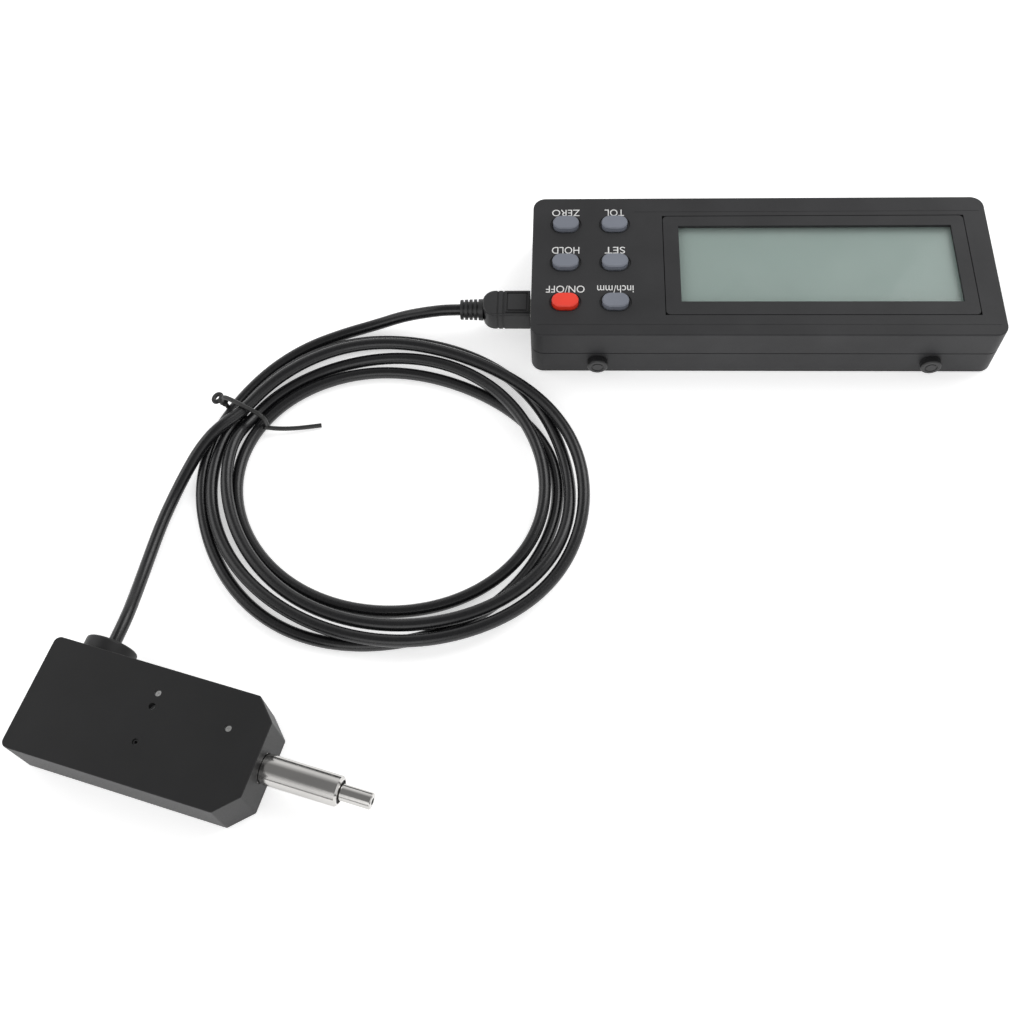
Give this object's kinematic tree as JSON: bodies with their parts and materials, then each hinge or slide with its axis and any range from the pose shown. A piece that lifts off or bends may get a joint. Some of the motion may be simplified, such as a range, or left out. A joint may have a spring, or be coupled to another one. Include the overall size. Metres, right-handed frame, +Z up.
{
  "type": "digital dial indicator with remote display",
  "caption": "Slim black sensor head with a steel stem and sliding spindle, joined by a coiled cable to a flat display unit with a screen and push keys.",
  "frame": {"origin": "centre of the sensor head's flat base face", "axes": "+X along the stem and spindle, pointing out of the head; +Z up from the base; the display lies behind, turned 15.6 degrees about +Z"},
  "size_m": [0.2658, 0.2875, 0.0234],
  "materials": {
    "head_black": "fine matte black coating",
    "black_steel": "black oxide",
    "polished_steel": "fine ground and polished",
    "plain_steel": "plain",
    "bright_screw": "bright zinc",
    "spring_steel": "drawn wire",
    "brass": "turned",
    "felt": "felt",
    "aluminium": "milled",
    "circuit_board": "solder mask",
    "cable_rubber": "satin black jacket",
    "tie_plastic": "coated wire",
    "plug_plastic": "satin black moulding",
    "nickel": "nickel plate",
    "case_plastic": "fine textured black moulding",
    "stud_plastic": "satin black",
    "clear_pane": "clear",
    "white_plastic": "white",
    "lcd_glass": "grey-green",
    "contact_rubber": "striped",
    "cell_wrap": "plain sleeve",
    "key_red": "satin",
    "key_grey": "satin"
  },
  "bodies": {
    "sensor": {"sensor_housing": "head_black", "sensor_base_plate": "head_black", "base_plate_screws": "black_steel", "stem": "polished_steel", "spindle_bushings": "brass", "wiper_ring": "felt", "return_spring": "spring_steel", "spring_pin": "plain_steel", "rear_guide_block": "aluminium", "front_guide_block": "aluminium", "guide_rod": "polished_steel", "sensor_board": "circuit_board", "set_screws": "bright_screw", "stop_screw": "black_steel", "cable_gland": "head_black", "cable_clamp": "case_plastic", "clamp_screws": "plain_steel", "signal_wires": "cable_rubber", "cable_lead": "cable_rubber", "cable_coil": "cable_rubber", "cable_tail": "cable_rubber", "cable_tie": "tie_plastic", "plug_body": "plug_plastic", "plug_boot": "plug_plastic", "plug_shell": "nickel"},
    "spindle": {"spindle": "polished_steel", "spring_collar": "brass", "carriage": "aluminium", "scale_strip": "circuit_board", "bump_washer": "cable_rubber"},
    "display": {"display_base": "case_plastic", "display_cover": "case_plastic", "screen_bezel": "case_plastic", "screen_pane": "clear_pane", "lcd_holder": "white_plastic", "lcd_panel": "lcd_glass", "contact_strips": "contact_rubber", "main_board": "circuit_board", "tact_switches": "black_steel", "usb_socket": "nickel", "battery_cells": "cell_wrap", "battery_springs": "spring_steel", "battery_terminals": "nickel", "case_screws": "black_steel", "bracket_studs": "stud_plastic"},
    "battery_door": {"battery_door": "case_plastic"},
    "key_power": {"key_power": "key_red"},
    "key_unit": {"key_unit": "key_grey"},
    "key_hold": {"key_hold": "key_grey"},
    "key_set": {"key_set": "key_grey"},
    "key_zero": {"key_zero": "key_grey"},
    "key_tolerance": {"key_tolerance": "key_grey"}
  },
  "joints": [
    {"name": "spindle_slide", "type": "slide", "parent": "sensor", "child": "spindle", "axis": [-1, 0, 0], "range_m": [0, 0.009], "stiffness_N_per_m": 80, "springref_m": -0.012, "deforming": ["return_spring"]},
    {"name": "plug_release", "type": "slide", "parent": "sensor", "child": "display", "axis": [0.963, 0.2693, 0], "range_m": [0, 0.008]},
    {"name": "door_slide", "type": "slide", "parent": "display", "child": "battery_door", "axis": [0.963, 0.2693, 0], "range_m": [0, 0.012]},
    {"name": "key_power_press", "type": "slide", "parent": "display", "child": "key_power", "axis": [0, 0, -1], "range_m": [0, 0.0005], "stiffness_N_per_m": 800, "springref_m": -0.001},
    {"name": "key_unit_press", "type": "slide", "parent": "display", "child": "key_unit", "axis": [0, 0, -1], "range_m": [0, 0.0005], "stiffness_N_per_m": 800, "springref_m": -0.001},
    {"name": "key_hold_press", "type": "slide", "parent": "display", "child": "key_hold", "axis": [0, 0, -1], "range_m": [0, 0.0005], "stiffness_N_per_m": 800, "springref_m": -0.001},
    {"name": "key_set_press", "type": "slide", "parent": "display", "child": "key_set", "axis": [0, 0, -1], "range_m": [0, 0.0005], "stiffness_N_per_m": 800, "springref_m": -0.001},
    {"name": "key_zero_press", "type": "slide", "parent": "display", "child": "key_zero", "axis": [0, 0, -1], "range_m": [0, 0.0005], "stiffness_N_per_m": 800, "springref_m": -0.001},
    {"name": "key_tolerance_press", "type": "slide", "parent": "display", "child": "key_tolerance", "axis": [0, 0, -1], "range_m": [0, 0.0005], "stiffness_N_per_m": 800, "springref_m": -0.001}
  ]
}
